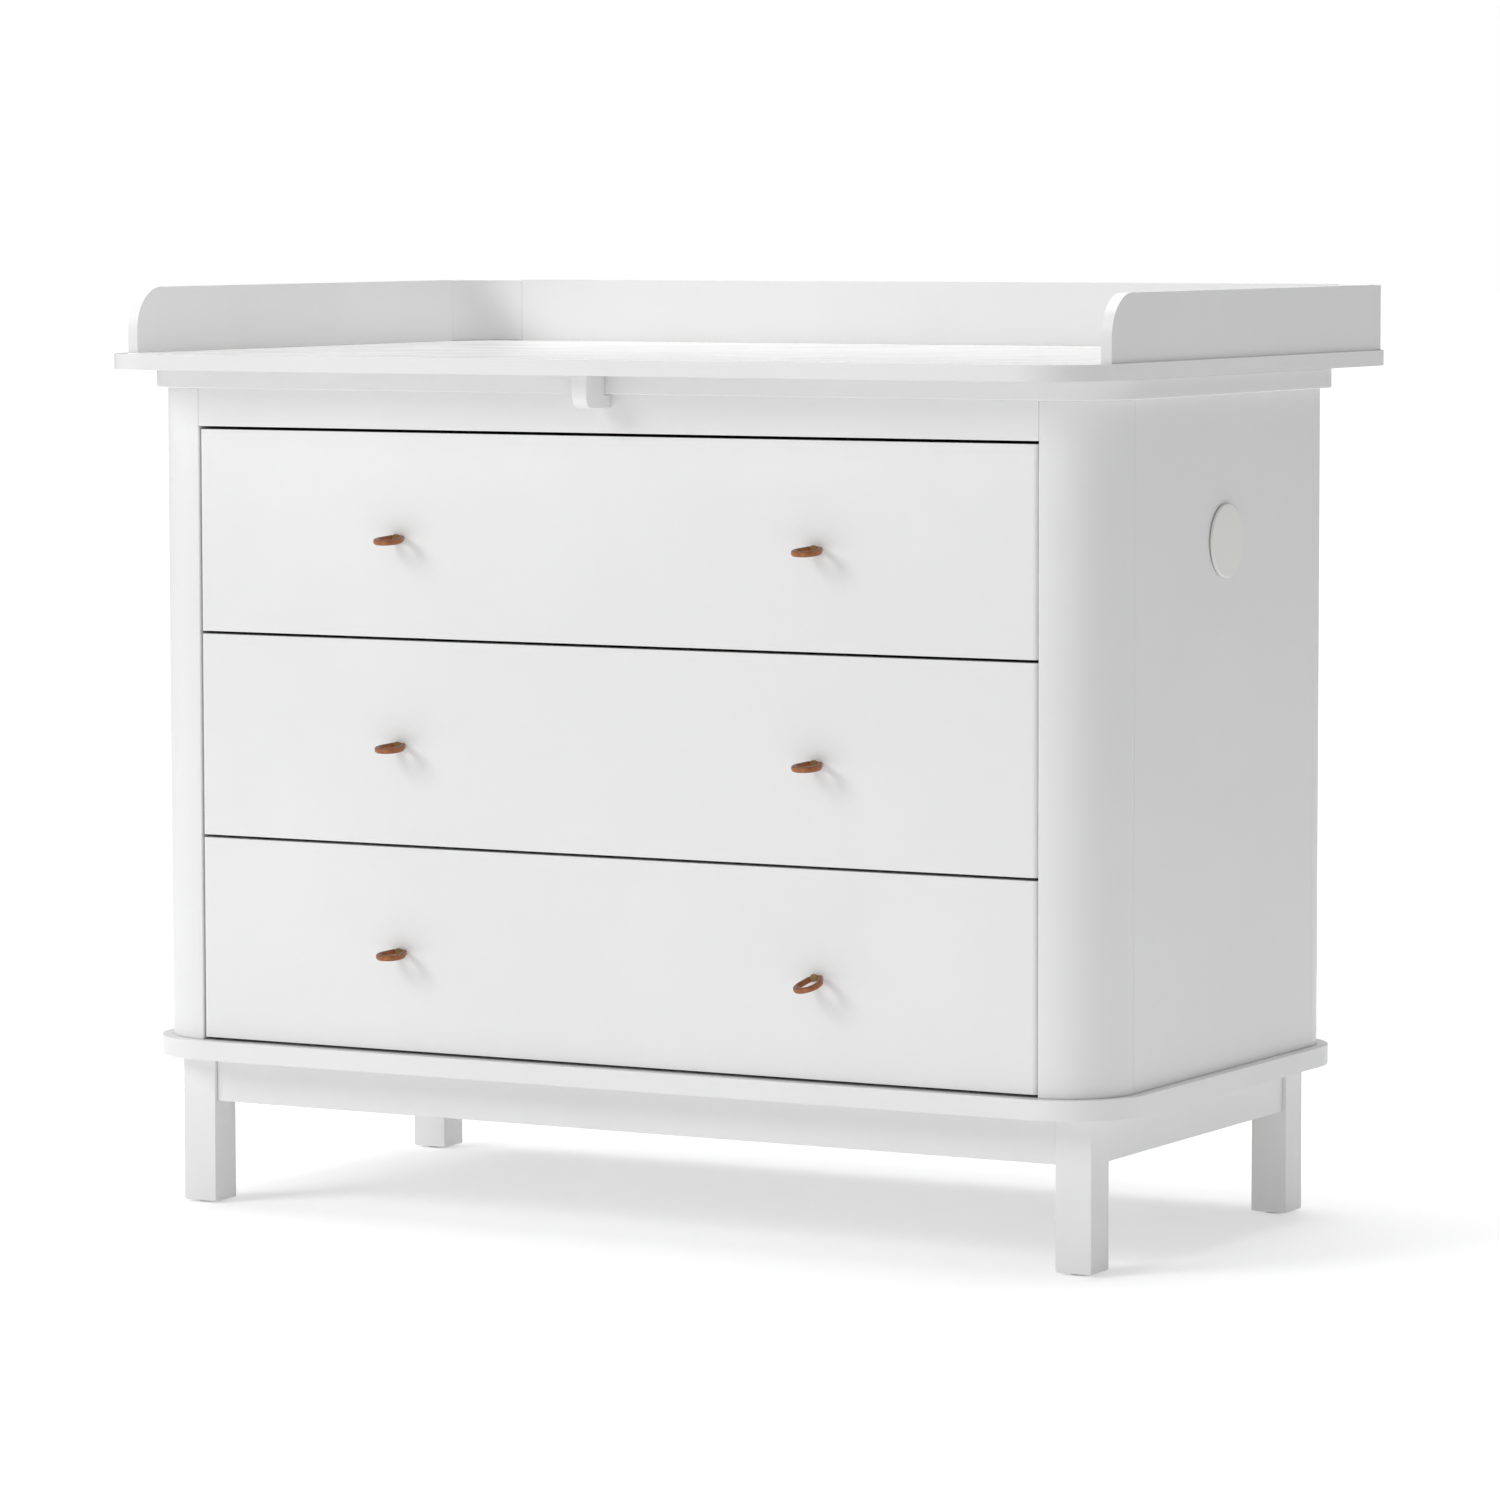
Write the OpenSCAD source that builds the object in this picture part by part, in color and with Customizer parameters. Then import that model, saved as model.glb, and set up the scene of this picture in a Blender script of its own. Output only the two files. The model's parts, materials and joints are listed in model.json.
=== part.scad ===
// Nursery dresser with three full-width drawers and a walled changing top.
// Millimetres, +Z up, front towards -Y, origin on the floor at the middle of the footprint.

/* [Dresser] */
// Width over the side panels
carcass_w = 1048; // [940:2:1052]
// Depth over the corner posts
carcass_d = 528; // [520:2:560]
// Radius of the quarter-round corner posts
post_r = 66; // [55:1:75]
// Thickness of the side panels, drawer fronts and top front rail
panel_t = 19; // [16:1:22]
// Thickness of the base board and of the top board
board_t = 19; // [16:1:22]
// How far the base board and the top board stand out all round
overhang = 11; // [6:1:16]
// Height of the top front rail above the drawers
fascia_h = 37; // [30:1:60]

/* [Drawers] */
// Height of one drawer front
front_h = 197; // [180:1:220]
// Gap round each drawer front
gap = 3; // [2:0.5:4]
// Thickness of the drawer box sides and back
box_t = 12; // [10:1:14]
// Height of the drawer box sides
box_h = 150; // [120:5:160]
// Length of the drawer boxes behind the front
box_l = 455; // [440:1:460]
// Length of the ball-bearing runners
runner_l = 450; // [400:10:450]

/* [Legs] */
// Height from the floor to the underside of the base board
leg_h = 148; // [120:1:180]
// Side of the square legs
leg_w = 37; // [32:1:44]
// How far the legs stand in from the base board's sides
leg_inset = 35; // [20:1:45]
// How far the front legs stand in from the base board's front
leg_inset_front = 38; // [20:1:45]
// How far the rear legs stand in from the base board's back
leg_inset_back = 44; // [20:1:50]
// Height of the rails between the legs
rail_h = 46; // [36:1:56]

/* [Changing top] */
// Width of the changing board
tray_w = 1078; // [1074:2:1200]
// Depth of the changing board
tray_d = 722; // [690:2:740]
// How far the changing board stands out in front of the dresser's top board
tray_front = 62; // [56:1:90]
// Thickness of the changing board
tray_t = 15; // [12:1:18]
// Height of the walls
wall_h = 64; // [50:1:100]
// Thickness of the walls
wall_t = 11; // [10:1:12]
// Outer radius of the bent rear corners of the walls
wall_corner_r = 65; // [40:1:75]

/* [Leather pulls] */
// Distance of each pull from the middle of the drawer front
pull_x = 228; // [150:1:320]
// Outer radius of the round head of the loop
pull_r = 14.5; // [12:0.5:18]
// How far the loop stands out from the drawer front
pull_l = 34; // [30:1:42]
// Height of the leather strap
strip_h = 5.5; // [4.5:0.5:7]
// Thickness of the leather strap
strip_t = 5.5; // [4.5:0.5:6]
// Angle by which a pull droops under its own weight
pull_droop = 7; // [0:1:12]
// Angle by which the lower right pull droops
low_droop = 18; // [0:1:26]
// Angle by which the lower right pull is turned about its screw
pull_turn = -10; // [-45:1:45]

/* [Hidden] */
$fn = 64;

LEFT = -1;
RIGHT = 1;
LEVELS = [0, 1, 2];
touch = 0.1;                 // clearance where two pieces of one body meet

// Colours
paint = [0.90, 0.90, 0.89];
cap_paint = [0.91, 0.91, 0.88];
ply = [0.82, 0.72, 0.55];
raw_board = [0.86, 0.84, 0.80];
leather = [0.60, 0.32, 0.15];
steel = [0.72, 0.73, 0.75];
felt = [0.55, 0.53, 0.50];

// Where the dresser stands under the changing board
dresser_front = -tray_d / 2 + tray_front + overhang;   // front face of the drawers
dresser_back = dresser_front + carcass_d;
plan_front = dresser_front - overhang;
plan_back = dresser_back + overhang;
half_w = carcass_w / 2;
opening_w = carcass_w - 2 * post_r;

// Drawer fronts
side_gap = 1.2;
front_edge_r = 4.5;

// Heights
base_z = leg_h;
floor_z = base_z + board_t;                       // top face of the base board
pitch = front_h + gap;
fascia_z = floor_z + len(LEVELS) * pitch + gap;   // underside of the top front rail
top_z = fascia_z + fascia_h;
tray_z = top_z + board_t;
surface_z = tray_z + tray_t;                      // the surface a baby lies on
function front_z(level) = floor_z + gap + level * pitch;

// Base frame
glide_t = 2;
glide_r = 11;
leg_x = half_w + overhang - leg_inset;            // outer face of the legs
leg_front = plan_front + leg_inset_front;
leg_back = plan_back - leg_inset_back;
rail_t = 22;
rail_setback = 4;
rail_x = leg_x - rail_setback;
block_t = 24;
block_leg = 58;
bolt_r = 3;
bolt_head_r = 5.5;
bolt_head_h = 4;
bolt_into_board = 12;

// Carcass
back_t = 8;
back_inset = 12;
cap_r = 35;
cap_gap = 1.2;                // the cap's rim stands this far off the side panel
cap_t = 2.4;
cap_stem_r = 17.5;
cap_stem_l = 12;
cap_back = 260;               // from the dresser's front to the middle of the caps
cap_z = 669;

// Runners: cabinet member, middle member and drawer member nest in one another
batten_h = 50;
runner_wide = 13;
runner_y = dresser_front + panel_t + 4;
member_t = 1.2;
cabinet_member_h = 45;
mid_member_h = 35;
drawer_member_h = 25;
mid_member_x = 2;             // gap from the batten to the middle member's web
drawer_member_reach = 8;

// Drawer boxes
box_x = opening_w / 2 - runner_wide;              // outer face of a drawer side
box_rise = 22;                                    // box underside above the front's lower edge
box_base_t = 6;
groove_d = 6;
groove_rise = 10;
runner_rise = box_rise + box_h / 2;

// Pulls
neck_w = 16.5;
neck_wall = 4.45;
neck_l = 4.5;
neck_gap = 0.3;
pull_rise = front_h / 2 - 2;
pull_screw_r = 1.75;
pull_screw_into = 14;
screw_head_r = 3.6;
screw_head_t = 2.2;
head_gap = 0.2;
bore_gap = 0.05;

// Changing top
wall_inset = 4;
wall_back_inset = 2;
wall_x = tray_w / 2 - wall_inset;                 // outer face of the side walls
wall_front = plan_front + 4;
wall_back = tray_d / 2 - wall_back_inset;         // outer face of the back wall
wall_nose_r = 42;
tray_plan_r = wall_corner_r + wall_inset;
hook_w = 16;
hook_front = dresser_front - 46;
hook_lip = 13;                                    // thickness of the lip below the top board
hook_nose_r = 12;
stop_w = 60;
stop_d = 20;
stop_h = 28;
stop_x = 330;
tray_screw_r = 2;
tray_screw_head_r = 4;
tray_screw_head_t = 2.5;
tray_screw_up = 25;

// Plan of a board with four round corners
module board_plan(w, front, back, r) {
    for (x = [-w / 2 + r, w / 2 - r], y = [front + r, back - r])
        translate([x, y]) circle(r, $fn = 128);
    translate([-w / 2, front + r]) square([w, back - front - 2 * r]);
    translate([-w / 2 + r, front]) square([w - 2 * r, back - front]);
}

module slab(w, y0, y1, z0, z1) {
    translate([-w / 2, y0, z0]) cube([w, y1 - y0, z1 - z0]);
}

// A box from x0 to x1 on one side of the middle plane
module side_box(side, x0, x1, y0, y1, z0, z1) {
    translate([side > 0 ? x0 : -x1, y0, z0]) cube([x1 - x0, y1 - y0, z1 - z0]);
}

// ---- Base frame ----

module leg(side, front) {
    y0 = front ? leg_front : leg_back - leg_w;
    chamfer = 1.5;
    color(paint) difference() {
        side_box(side, leg_x - leg_w, leg_x, y0, y0 + leg_w, glide_t, leg_h);
        for (edge = [0, 1])
            translate([side * (leg_x - edge * leg_w), y0 + leg_w / 2, glide_t]) rotate([0, 45, 0])
                cube([chamfer, leg_w + 2, chamfer], center = true);
        for (edge = [0, 1])
            translate([side * (leg_x - leg_w / 2), y0 + edge * leg_w, glide_t]) rotate([45, 0, 0])
                cube([leg_w + 2, chamfer, chamfer], center = true);
    }
}

module base_rail_front() {
    color(paint) slab(2 * (leg_x - leg_w), leg_front + rail_setback,
        leg_front + rail_setback + rail_t, leg_h - rail_h, leg_h);
}

module base_rail_rear() {
    color(paint) slab(2 * (leg_x - leg_w), leg_back - rail_setback - rail_t,
        leg_back - rail_setback, leg_h - rail_h, leg_h);
}

module base_rail_side(side) {
    color(paint) side_box(side, rail_x - rail_t, rail_x, leg_front + leg_w, leg_back - leg_w,
        leg_h - rail_h, leg_h);
}

module at_legs() {
    for (side = [LEFT, RIGHT], y = [leg_front + leg_w / 2, leg_back - leg_w / 2])
        translate([side * (leg_x - leg_w / 2), y, 0]) children();
}

module leg_glides() {
    color(felt) at_legs() cylinder(r = glide_r, h = glide_t);
}

// Inner corner of each leg: x and y of the leg, and which way the block lies
BLOCKS = [for (side = [LEFT, RIGHT], front = [true, false])
    [side, front ? 1 : -1, side * (leg_x - leg_w), front ? leg_front + leg_w : leg_back - leg_w]];
bolt_in = block_leg * 0.3;

module corner_blocks() {
    color(ply) for (b = BLOCKS)
        translate([b[2], b[3], leg_h - block_t]) difference() {
            linear_extrude(block_t) polygon([[0, 0], [-b[0] * block_leg, 0], [0, b[1] * block_leg]]);
            translate([-b[0] * bolt_in, b[1] * bolt_in, -1])
                cylinder(r = bolt_r + touch, h = block_t + 2);
        }
}

module base_bolts() {
    color(steel) for (b = BLOCKS)
        translate([b[2] - b[0] * bolt_in, b[3] + b[1] * bolt_in, leg_h - block_t]) {
            cylinder(r = bolt_r, h = block_t + bolt_into_board);
            translate([0, 0, -bolt_head_h]) cylinder(r = bolt_head_r, h = bolt_head_h);
        }
}

module base_board() {
    color(paint) difference() {
        translate([0, 0, base_z]) linear_extrude(board_t)
            board_plan(carcass_w + 2 * overhang, plan_front, plan_back, post_r + overhang);
        for (b = BLOCKS)
            translate([b[2] - b[0] * bolt_in, b[3] + b[1] * bolt_in, base_z - 1])
                cylinder(r = bolt_r + touch, h = bolt_into_board + 1 + touch);
    }
}

// ---- Carcass ----

module side_panel(side) {
    color(paint) difference() {
        side_box(side, half_w - panel_t, half_w, dresser_front + post_r, dresser_back - post_r,
            floor_z, top_z);
        translate([side * half_w, dresser_front + cap_back, cap_z]) rotate([0, 90, 0])
            cylinder(r = cap_stem_r + touch, h = 2 * cap_stem_l + 2 * touch, center = true);
    }
}

// A quarter-round post: end is -1 at the front and 1 at the rear
module corner_post(side, end) {
    y = end < 0 ? dresser_front + post_r : dresser_back - post_r;
    color(paint) translate([side * (half_w - post_r), y, floor_z])
        linear_extrude(top_z - floor_z) intersection() {
            circle(post_r, $fn = 128);
            translate([side > 0 ? 0 : -post_r, end > 0 ? 0 : -post_r]) square(post_r);
        }
}

module top_front_rail() {
    color(paint) slab(opening_w, dresser_front, dresser_front + panel_t, fascia_z, top_z);
}

module back_panel() {
    color(raw_board) slab(opening_w, dresser_back - back_inset - back_t,
        dresser_back - back_inset, floor_z, top_z);
}

module top_board() {
    color(paint) translate([0, 0, top_z]) linear_extrude(board_t)
        board_plan(carcass_w + 2 * overhang, plan_front, plan_back, post_r + overhang);
}

// A low round cap on each side panel, on a stem that plugs into the panel
module side_caps() {
    edge_r = 1.2;
    color(cap_paint) for (side = [LEFT, RIGHT])
        translate([side * half_w, dresser_front + cap_back, cap_z])
        rotate([0, side * 90, 0]) rotate_extrude($fn = 96) {
            translate([0, cap_gap]) {
                square([cap_r, cap_t - edge_r]);
                square([cap_r - edge_r, cap_t]);
                translate([cap_r - edge_r, cap_t - edge_r]) circle(edge_r);
            }
            translate([0, -cap_stem_l]) square([cap_stem_r, cap_stem_l + cap_gap + 0.5]);
        }
}

// ---- Runners ----

// On each side of a drawer, with local +x pointing from the batten to the drawer
module at_runners(level) {
    for (side = [LEFT, RIGHT])
        translate([side * opening_w / 2, runner_y, front_z(level) + runner_rise])
            mirror([side > 0 ? 1 : 0, 0, 0]) children();
}

// A channel whose web stands at x and whose flanges reach towards the drawer or the cabinet
module channel(x, reach, h) {
    x0 = min(x, x + reach);
    web_x = reach < 0 ? x - member_t : x;
    translate([web_x, 0, -h / 2]) cube([member_t, runner_l, h]);
    for (z = [-h / 2, h / 2 - member_t])
        translate([x0, 0, z]) cube([abs(reach), runner_l, member_t]);
}

module runner_battens() {
    color(ply) for (level = LEVELS, side = [LEFT, RIGHT])
        side_box(side, opening_w / 2, half_w - panel_t, dresser_front + post_r,
            dresser_back - post_r,
            front_z(level) + runner_rise - batten_h / 2, front_z(level) + runner_rise + batten_h / 2);
}

module cabinet_runners() {
    color(steel) for (level = LEVELS) at_runners(level) channel(0, runner_wide - 2, cabinet_member_h);
}

module mid_runners(level) {
    color(steel) at_runners(level) channel(mid_member_x, drawer_member_reach, mid_member_h);
}

module drawer_runners(level) {
    color(steel) at_runners(level) channel(runner_wide, -drawer_member_reach, drawer_member_h);
}

// ---- Drawers ----

module screw_holes(level, r) {
    for (side = [LEFT, RIGHT])
        translate([side * pull_x, dresser_front - 1, front_z(level) + pull_rise])
            rotate([-90, 0, 0]) cylinder(r = r, h = pull_screw_into + 1 + touch);
}

// Plan of a drawer front, its two upright front edges rounded
module front_plan() {
    half = opening_w / 2 - side_gap;
    translate([-half, dresser_front + front_edge_r]) square([2 * half, panel_t - front_edge_r]);
    translate([-half + front_edge_r, dresser_front])
        square([2 * (half - front_edge_r), front_edge_r + 0.5]);
    for (side = [LEFT, RIGHT])
        translate([side * (half - front_edge_r), dresser_front + front_edge_r]) circle(front_edge_r);
}

module drawer_front(level) {
    z = front_z(level);
    color(paint) difference() {
        translate([0, 0, z]) linear_extrude(front_h) front_plan();
        screw_holes(level, pull_screw_r + touch);
    }
}

module drawer_sides(level) {
    z = front_z(level) + box_rise;
    y = dresser_front + panel_t;
    color(ply) for (side = [LEFT, RIGHT]) difference() {
        side_box(side, box_x - box_t, box_x, y, y + box_l, z, z + box_h);
        side_box(side, box_x - box_t - 1, box_x - box_t + groove_d, y - 1, y + box_l + 1,
            z + groove_rise, z + groove_rise + box_base_t + touch);
    }
}

module drawer_back(level) {
    z = front_z(level) + box_rise;
    y = dresser_front + panel_t + box_l;
    color(ply) slab(2 * (box_x - box_t), y - box_t, y, z + groove_rise + box_base_t, z + box_h);
}

module drawer_base(level) {
    z = front_z(level) + box_rise + groove_rise;
    y = dresser_front + panel_t;
    color(ply) slab(2 * (box_x - box_t + groove_d - touch), y, y + box_l, z, z + box_base_t);
}

// ---- Pulls ----

// Angle at which a line from corner p touches a circle of radius r centred at [0, c]
function tangent_angle(p, c, r) = atan2(p[1] - c, p[0]) - acos(r / norm([p[0], p[1] - c]));

// A teardrop: a round head, centred at [0, c], narrowing to a neck that ends at y
module teardrop(r, c, half_neck, y) {
    a = tangent_angle([half_neck, y], c, r);
    steps = 40;
    polygon(concat([[-half_neck, y]],
        [for (i = [0:steps]) let (b = 180 - a + i * (180 + 2 * a) / steps)
            [r * cos(b), c + r * sin(b)]],
        [[half_neck, y]]));
}

// A strip of leather bent to a loop and pinched under its screw
module pull(side, level, droop = pull_droop, turn = 0) {
    head_y = -pull_l + pull_r;
    color(leather)
        translate([side * pull_x, dresser_front, front_z(level) + pull_rise]) rotate([0, turn, 0])
            difference() {
                translate([0, -strip_h / 2 * sin(droop), 0]) rotate([droop, 0, 0])
                    translate([0, 0, -strip_h / 2]) linear_extrude(strip_h) difference() {
                        teardrop(pull_r, head_y, neck_w / 2, -neck_gap);
                        teardrop(pull_r - strip_t, head_y, neck_w / 2 - neck_wall, -neck_l);
                    }
                rotate([90, 0, 0]) cylinder(r = pull_screw_r + bore_gap, h = pull_l / 2);
                translate([0, -neck_l, 0]) rotate([90, 0, 0])
                    cylinder(r = screw_head_r + head_gap, h = screw_head_t + 2 * head_gap);
            }
}

module pull_screws(level) {
    color(steel) for (side = [LEFT, RIGHT])
        translate([side * pull_x, dresser_front, front_z(level) + pull_rise]) rotate([-90, 0, 0]) {
            translate([0, 0, -neck_l - head_gap]) cylinder(r = pull_screw_r,
                h = neck_l + head_gap + pull_screw_into);
            translate([0, 0, -neck_l - head_gap - screw_head_t])
                cylinder(r = screw_head_r, h = screw_head_t);
        }
}

// ---- Changing top ----

// Screws rise through the board into the walls
SCREWS = concat(
    [for (side = [LEFT, RIGHT], y = [wall_front + 70, wall_front + 520])
        [side * (wall_x - wall_t / 2), y]],
    [for (x = [-400, 0, 400]) [x, wall_back - wall_t / 2]]);

module screw_shanks(extra) {
    for (s = SCREWS)
        translate([s[0], s[1], tray_z - 1]) cylinder(r = tray_screw_r + extra,
            h = tray_screw_up + 1 + extra);
}

module changing_board() {
    color(paint) difference() {
        translate([0, 0, tray_z]) linear_extrude(tray_t)
            board_plan(tray_w, -tray_d / 2, tray_d / 2, tray_plan_r);
        screw_shanks(touch);
        for (s = SCREWS)
            translate([s[0], s[1], tray_z - 1])
                cylinder(r = tray_screw_head_r + touch, h = tray_screw_head_t + 1 + touch);
    }
}

module tray_wall_side(side) {
    length = wall_back - wall_corner_r - wall_front;
    color(paint) difference() {
        translate([side * (wall_x - wall_t / 2), wall_front, surface_z]) rotate([90, 0, 90])
            linear_extrude(wall_t, center = true) {
                square([length, wall_h - wall_nose_r]);
                translate([wall_nose_r, 0]) square([length - wall_nose_r, wall_h]);
                intersection() {
                    translate([wall_nose_r, wall_h - wall_nose_r]) circle(wall_nose_r);
                    square([wall_nose_r, wall_h]);
                }
            }
        screw_shanks(touch);
    }
}

module tray_wall_back() {
    color(paint) difference() {
        slab(2 * (wall_x - wall_corner_r), wall_back - wall_t, wall_back, surface_z,
            surface_z + wall_h);
        screw_shanks(touch);
    }
}

// Bent corner pieces that join the side walls to the back wall
module tray_corners() {
    color(paint) for (side = [LEFT, RIGHT])
        translate([side * (wall_x - wall_corner_r), wall_back - wall_corner_r, surface_z])
            linear_extrude(wall_h) intersection() {
                difference() {
                    circle(wall_corner_r, $fn = 128);
                    circle(wall_corner_r - wall_t, $fn = 128);
                }
                translate([side > 0 ? 0 : -wall_corner_r, 0]) square(wall_corner_r);
            }
}

// Grips the front edge of the dresser's top board
module front_hook() {
    depth = dresser_front - hook_front - touch;
    drop = board_t + hook_lip;
    color(paint) translate([-hook_w / 2, hook_front, tray_z]) rotate([90, 0, 90])
        linear_extrude(hook_w) difference() {
            union() {
                translate([0, -drop + hook_nose_r]) square([depth, drop - hook_nose_r]);
                translate([hook_nose_r, -drop]) square([depth - hook_nose_r, drop]);
                translate([hook_nose_r, -drop + hook_nose_r]) circle(hook_nose_r);
            }
            translate([depth - overhang, -board_t - touch]) square([overhang + 1, board_t + 1]);
        }
}

// Bear against the rear edge of the dresser's top board
module rear_stops() {
    color(paint) for (side = [LEFT, RIGHT])
        translate([side * stop_x - stop_w / 2, plan_back + touch, tray_z - stop_h])
            cube([stop_w, stop_d, stop_h]);
}

module tray_screws() {
    color(steel) for (s = SCREWS)
        translate([s[0], s[1], tray_z]) {
            cylinder(r = tray_screw_r, h = tray_screw_up);
            cylinder(r = tray_screw_head_r, h = tray_screw_head_t);
        }
}

// ---- The assembly ----

leg(LEFT, true);  // leg_front_left
leg(RIGHT, true);  // leg_front_right
leg(LEFT, false);  // leg_rear_left
leg(RIGHT, false);  // leg_rear_right
base_rail_front();
base_rail_rear();
base_rail_side(LEFT);  // base_rail_left
base_rail_side(RIGHT);  // base_rail_right
leg_glides();
corner_blocks();
base_bolts();
base_board();
side_panel(LEFT);  // side_panel_left
side_panel(RIGHT);  // side_panel_right
corner_post(LEFT, -1);  // corner_post_front_left
corner_post(RIGHT, -1);  // corner_post_front_right
corner_post(LEFT, 1);  // corner_post_rear_left
corner_post(RIGHT, 1);  // corner_post_rear_right
top_front_rail();
back_panel();
top_board();
side_caps();
runner_battens();
cabinet_runners();
mid_runners(0);  // mid_runners_bottom
mid_runners(1);  // mid_runners_middle
mid_runners(2);  // mid_runners_top
drawer_runners(0);  // drawer_runners_bottom
drawer_runners(1);  // drawer_runners_middle
drawer_runners(2);  // drawer_runners_top
drawer_front(0);  // drawer_front_bottom
drawer_front(1);  // drawer_front_middle
drawer_front(2);  // drawer_front_top
drawer_sides(0);  // drawer_sides_bottom
drawer_sides(1);  // drawer_sides_middle
drawer_sides(2);  // drawer_sides_top
drawer_back(0);  // drawer_back_bottom
drawer_back(1);  // drawer_back_middle
drawer_back(2);  // drawer_back_top
drawer_base(0);  // drawer_base_bottom
drawer_base(1);  // drawer_base_middle
drawer_base(2);  // drawer_base_top
pull(LEFT, 0);  // pull_left_bottom
pull(LEFT, 1);  // pull_left_middle
pull(LEFT, 2);  // pull_left_top
pull(RIGHT, 0, low_droop, pull_turn);  // pull_right_bottom
pull(RIGHT, 1);  // pull_right_middle
pull(RIGHT, 2);  // pull_right_top
pull_screws(0);  // pull_screws_bottom
pull_screws(1);  // pull_screws_middle
pull_screws(2);  // pull_screws_top
changing_board();
tray_wall_side(LEFT);  // tray_wall_left
tray_wall_side(RIGHT);  // tray_wall_right
tray_wall_back();
tray_corners();
front_hook();
rear_stops();
tray_screws();
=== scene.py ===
import json
import math

import bmesh
import bpy
from mathutils import Matrix, Vector


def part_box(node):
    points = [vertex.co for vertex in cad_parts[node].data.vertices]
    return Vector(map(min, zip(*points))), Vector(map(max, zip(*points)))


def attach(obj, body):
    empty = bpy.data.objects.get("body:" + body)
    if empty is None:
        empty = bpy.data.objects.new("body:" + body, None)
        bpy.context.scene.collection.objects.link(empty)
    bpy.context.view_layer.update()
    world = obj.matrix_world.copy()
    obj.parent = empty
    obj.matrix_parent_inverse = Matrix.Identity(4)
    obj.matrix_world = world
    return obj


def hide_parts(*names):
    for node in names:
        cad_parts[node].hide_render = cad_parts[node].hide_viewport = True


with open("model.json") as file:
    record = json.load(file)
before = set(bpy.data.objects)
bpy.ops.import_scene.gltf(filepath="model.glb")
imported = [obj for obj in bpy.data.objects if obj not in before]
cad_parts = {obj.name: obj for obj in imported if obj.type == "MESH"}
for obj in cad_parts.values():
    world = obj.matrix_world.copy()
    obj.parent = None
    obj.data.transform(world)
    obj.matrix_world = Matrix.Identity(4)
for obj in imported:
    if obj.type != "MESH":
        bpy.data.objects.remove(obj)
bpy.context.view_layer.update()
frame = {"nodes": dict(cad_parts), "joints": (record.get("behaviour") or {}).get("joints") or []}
NODES = frame["nodes"]
SCENE = bpy.context.scene
LEVELS = ("bottom", "middle", "top")
SIDES = ("left", "right")
MM = 0.001
X, Y, Z = range(3)


# ---- Node material helpers ----

class Graph:
    """A material's nodes, built in a few words."""

    def __init__(self, name, color, roughness, metallic=0.0):
        self.mat = bpy.data.materials.new(name)
        self.mat.use_nodes = True
        self.tree = self.mat.node_tree
        self.bsdf = self.tree.nodes["Principled BSDF"]
        self.bsdf.inputs["Base Color"].default_value = (*color, 1)
        self.bsdf.inputs["Roughness"].default_value = roughness
        self.bsdf.inputs["Metallic"].default_value = metallic
        self.mat.diffuse_color = (*color, 1)
        self.place = self.add("ShaderNodeTexCoord")

    def add(self, kind, **values):
        made = self.tree.nodes.new(kind)
        for key, value in values.items():
            setattr(made, key, value)
        return made

    def join(self, a, b):
        self.tree.links.new(a, b)

    def feed(self, socket, value):
        if isinstance(value, bpy.types.NodeSocket):
            self.join(value, socket)
        else:
            socket.default_value = value

    def at(self, scale=(1, 1, 1)):
        """The object's own coordinates in metres, stretched."""
        m = self.add("ShaderNodeMapping")
        self.join(self.place.outputs["Object"], m.inputs["Vector"])
        m.inputs["Scale"].default_value = scale
        return m.outputs["Vector"]

    def noise(self, scale, detail=2.0, rough=0.5, at=None, distortion=0.0):
        n = self.add("ShaderNodeTexNoise")
        self.join(at or self.at(), n.inputs["Vector"])
        n.inputs["Scale"].default_value = scale
        n.inputs["Detail"].default_value = detail
        n.inputs["Roughness"].default_value = rough
        n.inputs["Distortion"].default_value = distortion
        return n.outputs["Fac"]

    def cells(self, scale, feature="F1"):
        v = self.add("ShaderNodeTexVoronoi", feature=feature)
        self.join(self.at(), v.inputs["Vector"])
        v.inputs["Scale"].default_value = scale
        return v.outputs["Distance"]

    def axis(self, output, index):
        s = self.add("ShaderNodeSeparateXYZ")
        self.join(self.place.outputs[output], s.inputs[0])
        return s.outputs[index]

    def math(self, what, a, b=0.0):
        m = self.add("ShaderNodeMath", operation=what)
        for i, value in enumerate((a, b)):
            self.feed(m.inputs[i], value)
        return m.outputs[0]

    def span(self, value, lo, hi, to_lo=0.0, to_hi=1.0):
        m = self.add("ShaderNodeMapRange", interpolation_type="SMOOTHSTEP")
        for key, v in (("Value", value), ("From Min", lo), ("From Max", hi),
                       ("To Min", to_lo), ("To Max", to_hi)):
            self.feed(m.inputs[key], v)
        return m.outputs["Result"]

    def mix(self, factor, a, b):
        m = self.add("ShaderNodeMix", data_type="RGBA")
        self.feed(m.inputs[0], factor)
        for socket, value in ((m.inputs[6], a), (m.inputs[7], b)):
            self.feed(socket, value if isinstance(value, bpy.types.NodeSocket) else (*value, 1))
        return m.outputs[2]

    def color(self, value):
        self.join(value, self.bsdf.inputs["Base Color"])

    def roughness(self, value):
        self.join(value, self.bsdf.inputs["Roughness"])

    def bump(self, *layers):
        """Each layer is (height, strength, distance in metres)."""
        normal = None
        for height, strength, distance in layers:
            b = self.add("ShaderNodeBump")
            b.inputs["Strength"].default_value = strength
            b.inputs["Distance"].default_value = distance
            self.join(height, b.inputs["Height"])
            if normal is not None:
                self.join(normal, b.inputs["Normal"])
            normal = b.outputs["Normal"]
        self.join(normal, self.bsdf.inputs["Normal"])

    def surface(self, **values):
        """Sets sockets by name, with _ for each space."""
        for key, value in values.items():
            self.bsdf.inputs[key.replace("_", " ")].default_value = value


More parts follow.
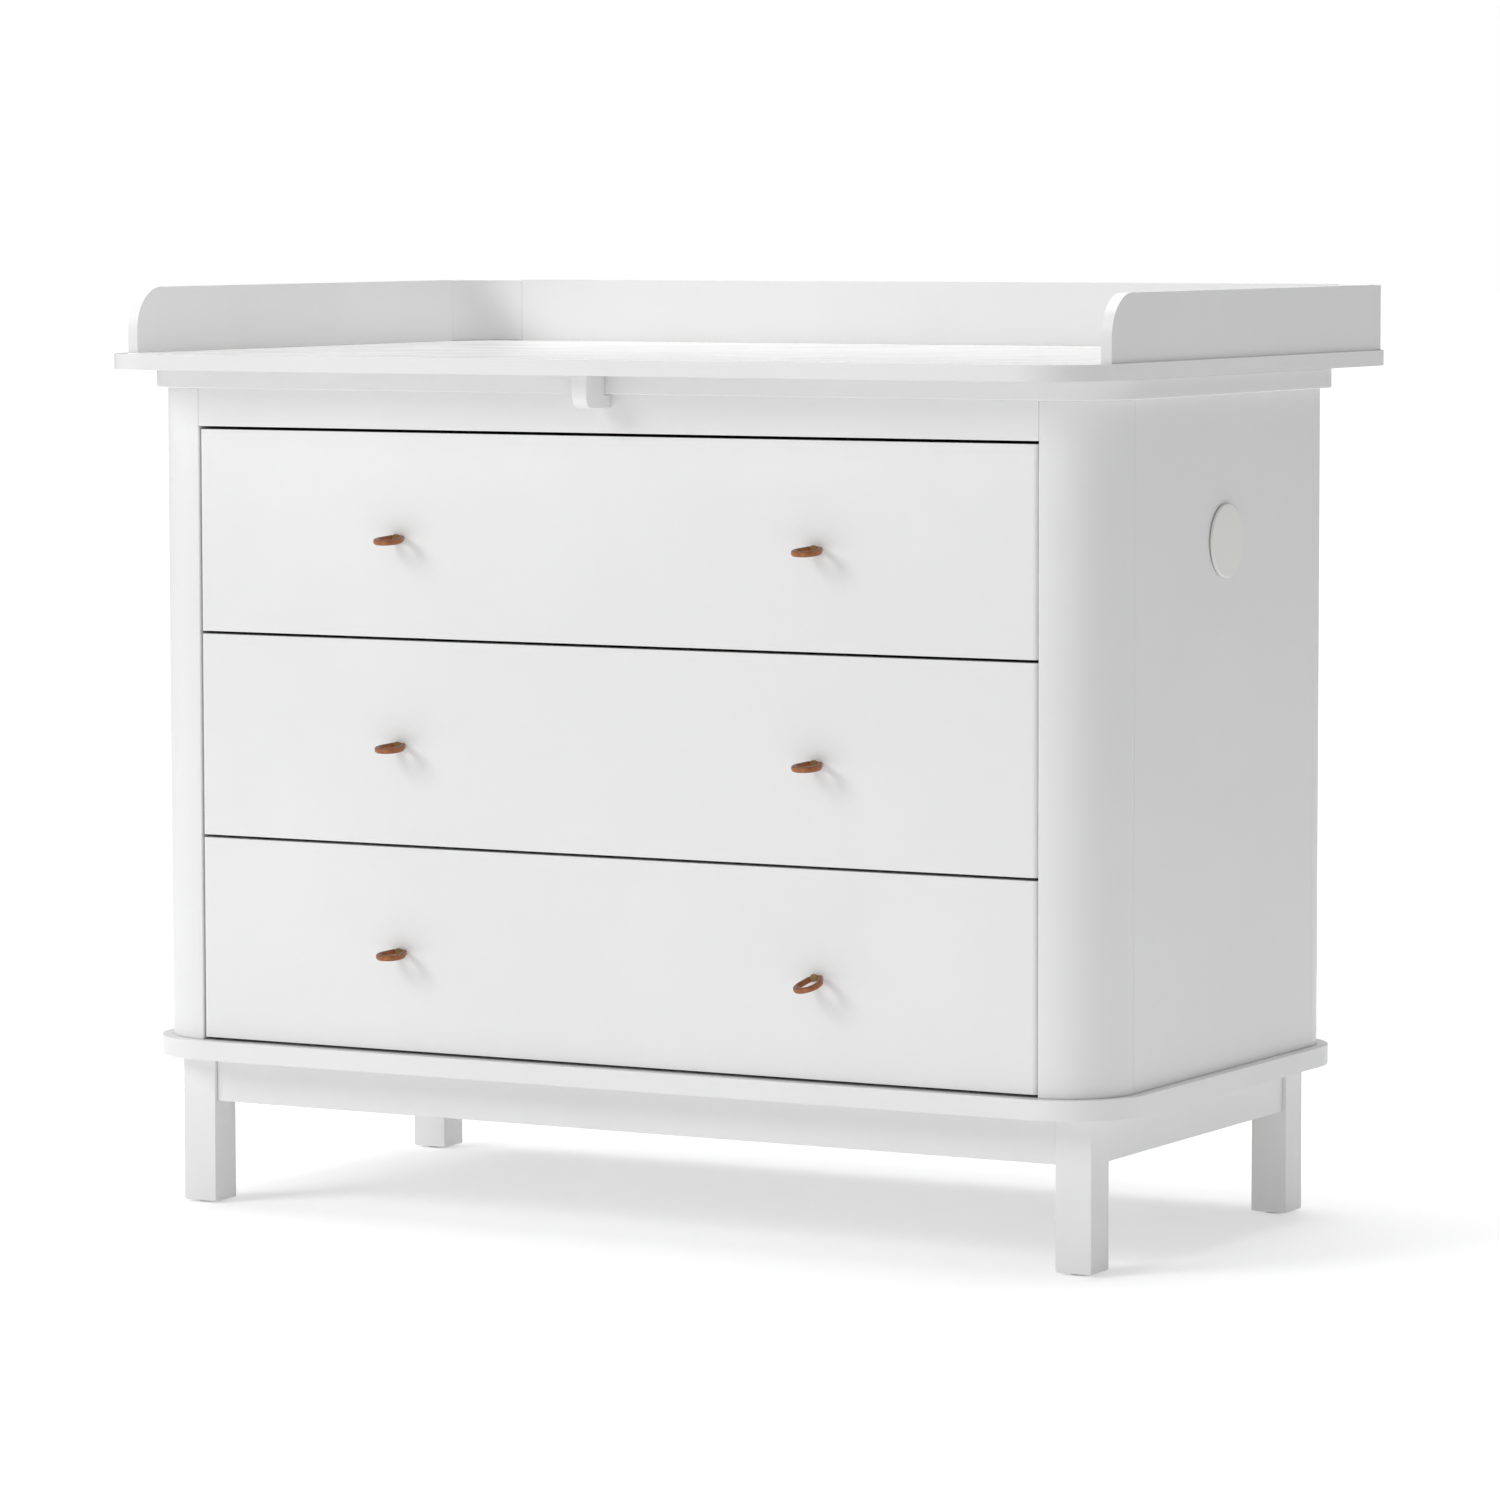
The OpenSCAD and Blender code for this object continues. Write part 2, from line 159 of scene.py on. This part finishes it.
def paint(name, color, roughness, texture=1.0, coat=0.0):
    """Sprayed and rolled lacquer on board: a faint orange peel, slow changes of tone and gloss."""
    g = Graph(name, color, roughness)
    darkening = 0.972
    gloss_change = 0.045
    slow = g.noise(2.6, detail=3, rough=0.55)
    haze = g.noise(9, detail=4, rough=0.6)
    peel = g.noise(520, detail=2, rough=0.55)
    swell = g.noise(70, detail=2, rough=0.5)
    nib = g.span(g.cells(95), 0.0, 0.035, 1.0, 0.0)
    dark = tuple(c * darkening for c in color)
    g.color(g.mix(g.span(slow, 0.35, 0.65), dark, color))
    g.roughness(g.span(haze, 0.3, 0.7, roughness - gloss_change, roughness + gloss_change))
    g.bump((peel, 0.10 * texture, 0.5 * MM), (swell, 0.05 * texture, 1.2 * MM),
           (nib, 0.05 * texture, 0.2 * MM))
    g.surface(Coat_Weight=coat, Coat_Roughness=0.12, Coat_IOR=1.5)
    return g.mat


def plywood(name, thin, grain, light=(0.76, 0.60, 0.40), dark=(0.64, 0.46, 0.28)):
    """Birch plywood. thin is the axis across the sheet and grain the axis along the face veneer."""
    g = Graph(name, light, 0.5)
    layer_pair = 2.8 * MM
    ply_light, ply_dark, end_pore = (0.70, 0.53, 0.33), (0.40, 0.26, 0.14), (0.30, 0.19, 0.10)
    pore = tuple(c * 0.55 for c in dark)

    def streaks(across, along, **look):
        stretch = [across] * 3
        stretch[grain] = along
        return g.noise(1.0, at=g.at(scale=stretch), **look)

    figure = streaks(38.0, 1.6, detail=5, rough=0.62, distortion=0.8)
    pores = streaks(900.0, 26.0, detail=2, rough=0.5)
    face = g.mix(g.span(figure, 0.3, 0.72), light, dark)
    face = g.mix(g.span(pores, 0.64, 0.80, 0.0, 0.55), face, pore)
    ply = g.math("FRACT", g.math("MULTIPLY", g.axis("Object", thin), 1 / layer_pair))
    from_middle = g.math("ABSOLUTE", g.math("SUBTRACT", ply, 0.5))
    layer = g.mix(g.span(from_middle, 0.22, 0.28), ply_light, ply_dark)
    end_grain = g.noise(420, detail=3, rough=0.7)
    layer = g.mix(g.span(end_grain, 0.45, 0.75, 0.0, 0.5), layer, end_pore)
    is_face = g.span(g.math("ABSOLUTE", g.axis("Normal", thin)), 0.55, 0.75)
    g.color(g.mix(is_face, layer, face))
    g.roughness(g.span(figure, 0.2, 0.8, 0.42, 0.56))
    g.bump((figure, 0.12, 0.6 * MM), (pores, 0.22, 0.2 * MM))
    g.surface(Coat_Weight=0.15, Coat_Roughness=0.35)
    return g.mat


def metal(name, color, roughness, drawn=True):
    """Plated steel or brass with a little cloud in the plating. A drawn one has lines along Y."""
    g = Graph(name, color, roughness, 1.0)
    stretch = [900.0, 900.0, 900.0]
    if drawn:
        stretch[Y] = 9.0
    lines = g.noise(1.0, detail=3, rough=0.6, at=g.at(scale=stretch))
    cloud = g.noise(60, detail=3, rough=0.6)
    dull = tuple(c * 0.84 for c in color)
    g.color(g.mix(g.span(cloud, 0.35, 0.7), color, dull))
    g.roughness(g.span(lines, 0.25, 0.75, roughness - 0.08, roughness + 0.10))
    g.bump((lines, 0.10, 0.1 * MM))
    return g.mat


def felt(name):
    """Pale wool felt, matt and fibrous."""
    base, dark, pale = (0.66, 0.65, 0.62), (0.58, 0.57, 0.54), (0.74, 0.73, 0.70)
    g = Graph(name, base, 0.95)
    fibre = g.noise(2600, detail=4, rough=0.75)
    g.color(g.mix(g.span(fibre, 0.3, 0.7), dark, pale))
    g.bump((fibre, 0.9, 0.4 * MM))
    g.surface(Sheen_Weight=0.5, Sheen_Roughness=0.5)
    return g.mat


def leather(name):
    """Vegetable tanned strap: pebbled grain, slow colour change, darker burnished edges."""
    base, pale, deep = (0.33, 0.095, 0.022), (0.46, 0.165, 0.050), (0.060, 0.013, 0.004)
    burnish_from, burnish_to = 1.7 * MM, 2.5 * MM
    g = Graph(name, base, 0.42)
    slow = g.noise(110, detail=3, rough=0.6)
    crease = g.cells(1150, "DISTANCE_TO_EDGE")
    pebble = g.cells(2100)
    from_middle = g.math("ABSOLUTE", g.axis("Object", Z))
    tone = g.mix(g.span(slow, 0.35, 0.7), base, pale)
    tone = g.mix(g.span(crease, 0.0, 0.10, 0.55, 0.0), tone, deep)
    tone = g.mix(g.span(from_middle, burnish_from, burnish_to, 0.0, 0.6), tone, deep)
    g.color(tone)
    g.roughness(g.span(slow, 0.3, 0.7, 0.36, 0.52))
    g.bump((g.span(crease, 0.0, 0.16), 0.35, 0.25 * MM), (pebble, 0.25, 0.15 * MM))
    g.surface(Specular_IOR_Level=0.45, Coat_Weight=0.12, Coat_Roughness=0.3)
    return g.mat


BATTEN_LIGHT, BATTEN_DARK = (0.72, 0.56, 0.36), (0.58, 0.41, 0.24)
WHITE = paint("painted_board", (0.847, 0.847, 0.845), 0.36)
WHITE_EDGE = paint("painted_base", (0.846, 0.846, 0.844), 0.38, texture=1.2)
TOP = paint("changing_lacquer", (0.850, 0.850, 0.848), 0.22, texture=0.2, coat=0.35)
CAP = paint("cap_lacquer", (0.872, 0.868, 0.848), 0.34, texture=0.25)
BACK = paint("back_sheet", (0.800, 0.802, 0.800), 0.52, texture=2.0)
PLY_SIDE = plywood("drawer_side_ply", X, Y)
PLY_BACK = plywood("drawer_back_ply", Y, X)
PLY_BASE = plywood("drawer_base_ply", Z, X, light=(0.79, 0.64, 0.45), dark=(0.70, 0.53, 0.34))
PLY_BATTEN = plywood("batten_ply", X, Y, BATTEN_LIGHT, BATTEN_DARK)
PLY_BLOCK = plywood("block_ply", Z, X, BATTEN_LIGHT, BATTEN_DARK)
ZINC = metal("zinc_plate", (0.66, 0.68, 0.70), 0.34)
ZINC_SCREW = metal("zinc_screw", (0.62, 0.64, 0.66), 0.36, drawn=False)
BRASS = metal("brass_screw", (0.30, 0.19, 0.085), 0.42, drawn=False)
FELT = felt("glide_felt_wool")
LEATHER = leather("cognac_strap")


# ---- CAD nodes that stay: finish and eased edges ----

WELD_DISTANCE = 0.01 * MM
FLAT_ANGLE = math.radians(0.5)
SHARP_ANGLE = math.radians(32)
BEVEL_SEGMENTS = 3


def ease(node, width):
    """Eased edges as a router and paint leave them. The node's own mesh stays as it is."""
    node.data.polygons.foreach_set("use_smooth", [True] * len(node.data.polygons))
    node.modifiers.new("weld", "WELD").merge_threshold = WELD_DISTANCE
    flat = node.modifiers.new("flat", "DECIMATE")
    flat.decimate_type = "DISSOLVE"
    flat.angle_limit = FLAT_ANGLE
    bevel = node.modifiers.new("ease", "BEVEL")
    bevel.limit_method = "ANGLE"
    bevel.angle_limit = SHARP_ANGLE
    bevel.width = width * MM
    bevel.segments = BEVEL_SEGMENTS
    bevel.use_clamp_overlap = True
    bevel.miter_outer = "MITER_ARC"
    normals = node.modifiers.new("normals", "WEIGHTED_NORMAL")
    normals.keep_sharp = False


def finish_node(name, material, edge=0.0):
    """Gives a CAD node its material and, where edge isn't 0, an eased edge that wide in mm."""
    node = NODES[name]
    for slot in node.material_slots:
        slot.material = material
    if edge:
        ease(node, edge)


for end in ("front", "rear"):
    for side in SIDES:
        finish_node(f"leg_{end}_{side}", WHITE_EDGE, edge=1.4)
        finish_node(f"corner_post_{end}_{side}", WHITE, edge=1.2)
for place in ("front", "rear", "left", "right"):
    finish_node(f"base_rail_{place}", WHITE_EDGE, edge=1.2)
for side in SIDES:
    finish_node(f"side_panel_{side}", WHITE, edge=1.1)
    finish_node(f"tray_wall_{side}", WHITE, edge=1.2)
finish_node("base_board", WHITE, edge=3.0)
finish_node("top_board", WHITE, edge=1.3)
finish_node("changing_board", TOP, edge=1.4)
finish_node("top_front_rail", WHITE, edge=1.0)
finish_node("back_panel", BACK, edge=0.6)
finish_node("side_caps", CAP)
finish_node("tray_wall_back", WHITE, edge=1.2)
finish_node("tray_corners", WHITE, edge=1.2)
finish_node("front_hook", WHITE, edge=1.2)
finish_node("rear_stops", WHITE, edge=2.0)
finish_node("runner_battens", PLY_BATTEN, edge=0.8)
finish_node("corner_blocks", PLY_BLOCK, edge=0.8)
finish_node("leg_glides", FELT)
finish_node("base_bolts", ZINC_SCREW)
finish_node("tray_screws", ZINC_SCREW)
finish_node("cabinet_runners", ZINC)
for level in LEVELS:
    finish_node(f"drawer_front_{level}", WHITE, edge=1.1)
    finish_node(f"drawer_sides_{level}", PLY_SIDE, edge=0.9)
    finish_node(f"drawer_back_{level}", PLY_BACK, edge=0.9)
    finish_node(f"drawer_base_{level}", PLY_BASE)
    finish_node(f"mid_runners_{level}", ZINC)
    finish_node(f"drawer_runners_{level}", ZINC)
    finish_node(f"pull_screws_{level}", BRASS)


# ---- Leather pulls ----

PULL_R = 14.5 * MM        # outer radius of the loop's round end
PULL_L = 34.0 * MM        # how far the loop stands out
STRAP_T = 5.5 * MM        # across the strap, in the loop's plane
STRAP_H = 5.5 * MM        # across the strap, square to the loop's plane
NECK_HALF = 8.25 * MM
NECK_Y = -0.3 * MM
LOOP_CENTRE = -PULL_L + PULL_R
SHOULDER_BEND = 3.2 * MM
DROOP, TURN = math.radians(7), 0.0
SLACK_DROOP, SLACK_TURN = math.radians(18), math.radians(-10)
NECK_STEPS, BEND_STEPS, SIDE_STEPS, ARC_STEPS = 3, 6, 8, 30
SECTION_POINTS = 28
OUTER_POWER, INNER_POWER, HEIGHT_POWER = 0.85, 0.7, 0.8
SWIVELS = {j["name"]: j["pos_m"] for j in frame["joints"] if j["type"] == "hinge"}


def tangent(point, centre, radius):
    """Angle at which a line from point touches the circle round (0, centre)."""
    away = math.hypot(point[0], point[1] - centre)
    return math.atan2(point[1] - centre, point[0]) - math.acos(radius / away)


def strap_path():
    """Middle line of the strap, once round the loop from the screw back to it."""
    r = PULL_R - STRAP_T / 2
    start = Vector((0.0, NECK_Y - STRAP_T / 2))
    corner = Vector((NECK_HALF - STRAP_T / 2, NECK_Y - STRAP_T / 2))
    a = tangent((NECK_HALF - STRAP_T / 2, NECK_Y - STRAP_T / 2), LOOP_CENTRE, r)
    touch = Vector((r * math.cos(a), LOOP_CENTRE + r * math.sin(a)))
    before = corner + Vector((-SHOULDER_BEND, 0))
    after = corner + (touch - corner).normalized() * SHOULDER_BEND
    points = [start.lerp(before, i / NECK_STEPS) for i in range(NECK_STEPS)]
    for i in range(BEND_STEPS + 1):
        t = i / BEND_STEPS
        points.append(before.lerp(corner, t).lerp(corner.lerp(after, t), t))
    for i in range(1, SIDE_STEPS):
        points.append(after.lerp(touch, i / SIDE_STEPS))
    sweep = -math.pi / 2 - a
    for i in range(ARC_STEPS + 1):
        b = a + sweep * i / ARC_STEPS
        points.append(Vector((r * math.cos(b), LOOP_CENTRE + r * math.sin(b))))
    left = [Vector((-p.x, p.y)) for p in reversed(points[:-1])]
    return points + left[:-1]


def strap_section():
    """Outline across the strap: (outwards, upwards), fuller on the inner face."""
    outline = []
    for i in range(SECTION_POINTS):
        b = 2 * math.pi * i / SECTION_POINTS
        c, s = math.cos(b), math.sin(b)
        power = OUTER_POWER if c > 0 else INNER_POWER
        outline.append((math.copysign(abs(c) ** power, c) * STRAP_T / 2,
                        math.copysign(abs(s) ** HEIGHT_POWER, s) * STRAP_H / 2))
    return outline


def ring_direction(point, forward):
    """Outwards across the strap. Past each shoulder two rings still point inwards and fold it."""
    out = Vector((forward.y, -forward.x))
    at_neck = point.y >= NECK_Y - STRAP_T
    if out.dot(point - Vector((0, LOOP_CENTRE))) < 0 and not at_neck:
        return -out
    if at_neck and abs(forward.x) > abs(forward.y):
        return Vector((out.x, abs(out.y)))
    return out


def strap_mesh(name):
    path, outline = strap_path(), strap_section()
    mesh = bpy.data.meshes.new(name)
    bm = bmesh.new()
    rings = []
    for i, p in enumerate(path):
        out = ring_direction(p, (path[(i + 1) % len(path)] - path[i - 1]).normalized())
        rings.append([bm.verts.new((p.x + out.x * o, p.y + out.y * o, z)) for o, z in outline])
    for a, b in zip(rings, rings[1:] + rings[:1]):
        for i in range(len(outline)):
            j = (i + 1) % len(outline)
            bm.faces.new((a[i], a[j], b[j], b[i]))
    bmesh.ops.recalc_face_normals(bm, faces=bm.faces)
    for f in bm.faces:
        f.smooth = True
    bm.to_mesh(mesh)
    bm.free()
    mesh.materials.append(LEATHER)
    return mesh


def make_pull(side, level, droop, turn):
    name = f"leather_pull_{side}_{level}"
    pull = bpy.data.objects.new(name, strap_mesh(name))
    SCENE.collection.objects.link(pull)
    x, _, z = SWIVELS[f"pull_{side}_{level}_swivel"]
    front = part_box(f"drawer_front_{level}")[0].y
    pull.matrix_world = (Matrix.Translation((x, front, z)) @ Matrix.Rotation(turn, 4, "Y")
                         @ Matrix.Translation((0, -STRAP_H / 2 * math.sin(droop), 0))
                         @ Matrix.Rotation(droop, 4, "X"))
    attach(pull, f"pull_{side}_{level}")
    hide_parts(f"pull_{side}_{level}")


for level in LEVELS:
    for side in SIDES:
        if (side, level) == ("right", "bottom"):
            make_pull(side, level, SLACK_DROOP, SLACK_TURN)
        else:
            make_pull(side, level, DROOP, TURN)


# ---- Studio ----

FLOOR_R = 60              # metres
FLOOR_SEGMENTS = 64
PAPER_FROM, PAPER_TO = 0.9, 4.5   # metres from the middle over which the backdrop brightens
SENSOR_MM, FOCAL_MM = 36, 161.14
CAMERA_AT = (3.1919, -5.7628, 0.9937)
CAMERA_PAN, CAMERA_DOWN, CAMERA_ROLL = 29.001, 4.725, -0.101   # degrees


def add_floor(near, far, bounce):
    """White studio floor. It glows a little: near and far as the camera sees it, bounce for the rest."""
    mesh = bpy.data.meshes.new("studio_floor")
    bm = bmesh.new()
    bmesh.ops.create_circle(bm, cap_ends=True, segments=FLOOR_SEGMENTS, radius=FLOOR_R)
    bm.to_mesh(mesh)
    bm.free()
    floor = bpy.data.objects.new("studio_floor", mesh)
    SCENE.collection.objects.link(floor)
    g = Graph("studio_paper", (0.92, 0.92, 0.925), 0.9)
    g.surface(Emission_Color=(1, 1, 1, 1), Specular_IOR_Level=0.0)
    away = g.add("ShaderNodeVectorMath", operation="LENGTH")
    g.join(g.place.outputs["Object"], away.inputs[0])
    backdrop = g.span(away.outputs["Value"], PAPER_FROM, PAPER_TO, near, far)
    seen = g.add("ShaderNodeLightPath").outputs["Is Camera Ray"]
    extra = g.math("MULTIPLY", seen, g.math("SUBTRACT", backdrop, bounce))
    g.join(g.math("ADD", extra, bounce), g.bsdf.inputs["Emission Strength"])
    mesh.materials.append(g.mat)


def add_area(name, place, aim, size, power):
    data = bpy.data.lights.new(name, "AREA")
    data.shape = "RECTANGLE"
    data.size, data.size_y = size
    data.energy = power
    light = bpy.data.objects.new(name, data)
    SCENE.collection.objects.link(light)
    light.location = place
    light.rotation_euler = (Vector(aim) - Vector(place)).to_track_quat("-Z", "Y").to_euler()


def add_world(seen, lit):
    world = bpy.data.worlds.new("studio_air")
    SCENE.world = world
    world.use_nodes = True
    tree = world.node_tree
    out = tree.nodes["World Output"]
    light = tree.nodes["Background"]
    light.inputs["Color"].default_value = (0.995, 0.997, 1.0, 1)
    light.inputs["Strength"].default_value = lit
    plain = tree.nodes.new("ShaderNodeBackground")
    plain.inputs["Color"].default_value = (1, 1, 1, 1)
    plain.inputs["Strength"].default_value = seen
    path = tree.nodes.new("ShaderNodeLightPath")
    mix = tree.nodes.new("ShaderNodeMixShader")
    tree.links.new(path.outputs["Is Camera Ray"], mix.inputs[0])
    tree.links.new(light.outputs[0], mix.inputs[1])
    tree.links.new(plain.outputs[0], mix.inputs[2])
    tree.links.new(mix.outputs[0], out.inputs["Surface"])


def add_camera():
    data = bpy.data.cameras.new("camera")
    data.sensor_width = SENSOR_MM
    data.lens = FOCAL_MM
    data.clip_start, data.clip_end = 0.1, 200
    camera = bpy.data.objects.new("camera", data)
    SCENE.collection.objects.link(camera)
    camera.location = CAMERA_AT
    camera.rotation_mode = "QUATERNION"
    pan = Matrix.Rotation(math.radians(CAMERA_PAN), 3, "Z")
    tilt = Matrix.Rotation(math.radians(90 - CAMERA_DOWN), 3, "X")
    roll = Matrix.Rotation(math.radians(CAMERA_ROLL), 3, "Z")
    camera.rotation_quaternion = (pan @ tilt @ roll).to_quaternion()
    SCENE.camera = camera


add_floor(near=0.31, far=0.75, bounce=0.20)
add_world(seen=1.0, lit=0.385)
add_area("key", place=(-3.4, -4.6, 3.6), aim=(0.1, -0.2, 0.45), size=(2.6, 2.6), power=142)
add_area("top", place=(-0.4, 0.5, 4.2), aim=(0, 0, 0.4), size=(3.2, 2.6), power=125)
add_camera()
SCENE.view_settings.view_transform = "Standard"
SCENE.view_settings.look = "None"
